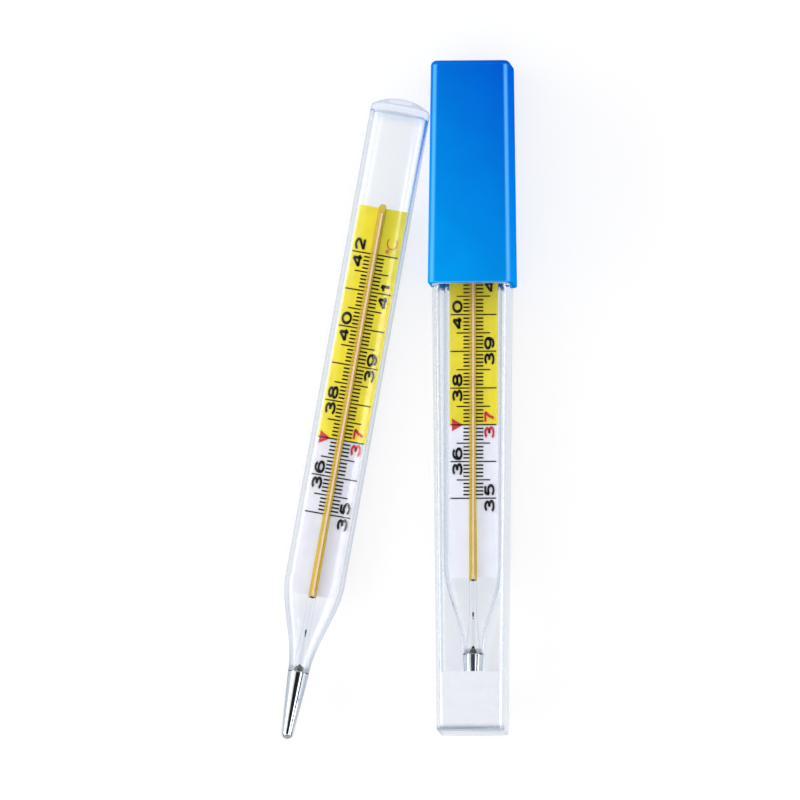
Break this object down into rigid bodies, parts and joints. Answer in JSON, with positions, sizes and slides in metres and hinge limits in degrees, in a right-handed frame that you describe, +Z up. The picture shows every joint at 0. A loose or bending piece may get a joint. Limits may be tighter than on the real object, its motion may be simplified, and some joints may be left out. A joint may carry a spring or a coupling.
{
  "type": "clinical thermometer",
  "caption": "Flat mercury-in-glass clinical thermometer with enclosed Celsius scale, lying beside a matching one in a clear case with a blue push-on cap.",
  "frame": {"origin": "on the flat back of the case tube, on its centre line, half way between the toe and the rim of the cap", "axes": "the set lies on a table: +X across it to the right, +Y along the case towards its cap, +Z up towards the printed fronts"},
  "size_m": [0.045, 0.1292, 0.0133],
  "materials": {
    "body_glass": "clear polished glass",
    "bulb_glass": "clear thin glass",
    "stem_glass": "clear glass",
    "capillary_glass": "clear glass over yellow enamel",
    "mercury": "liquid mirror",
    "yellow_enamel": "gloss enamel",
    "opal_plate": "satin opal glass",
    "yellow_print": "fired print",
    "black_print": "fired print",
    "red_print": "fired print",
    "clear_plastic": "clear moulded plastic",
    "blue_plastic": "satin moulded plastic",
    "white_foam": "soft white foam"
  },
  "bodies": {
    "case": {"case_tube": "clear_plastic", "bulb_pad": "white_foam"},
    "cap": {"case_cap": "blue_plastic"},
    "cased_thermometer": {"cased_envelope": "body_glass", "cased_bulb_glass": "bulb_glass", "cased_mercury_reservoir": "mercury", "cased_neck_stem": "stem_glass", "cased_capillary_tube": "capillary_glass", "cased_capillary_backing": "yellow_enamel", "cased_scale_plate": "opal_plate", "cased_fever_band": "yellow_print", "cased_graduations": "black_print", "cased_fever_pointer": "red_print"},
    "cased_mercury": {"cased_mercury_thread": "mercury"},
    "loose_thermometer": {"loose_envelope": "body_glass", "loose_bulb_glass": "bulb_glass", "loose_mercury_reservoir": "mercury", "loose_neck_stem": "stem_glass", "loose_capillary_tube": "capillary_glass", "loose_capillary_backing": "yellow_enamel", "loose_scale_plate": "opal_plate", "loose_fever_band": "yellow_print", "loose_graduations": "black_print", "loose_fever_pointer": "red_print"},
    "loose_mercury": {"loose_mercury_thread": "mercury"}
  },
  "joints": [
    {"name": "cap_pull", "type": "slide", "parent": "case", "child": "cap", "axis": [0, 1, 0], "range_m": [0, 0.2]},
    {"name": "cased_draw", "type": "slide", "parent": "case", "child": "cased_thermometer", "axis": [0, 1, 0], "range_m": [0, 0.12]},
    {"name": "loose_lift", "type": "slide", "parent": "case", "child": "loose_thermometer", "axis": [0, 0, 1], "range_m": [0, 0.06]},
    {"name": "cased_mercury_rise", "type": "slide", "parent": "cased_thermometer", "child": "cased_mercury", "axis": [0, 1, 0], "range_m": [0, 0.0711], "deforming": ["cased_mercury_thread"]},
    {"name": "loose_mercury_rise", "type": "slide", "parent": "loose_thermometer", "child": "loose_mercury", "axis": [0.1788, 0.9839, 0], "range_m": [0, 0.073], "deforming": ["loose_mercury_thread"]}
  ],
  "couplings": [
    {"joint": "cased_draw", "follows": "cap_pull", "ratio": 0.6}
  ]
}
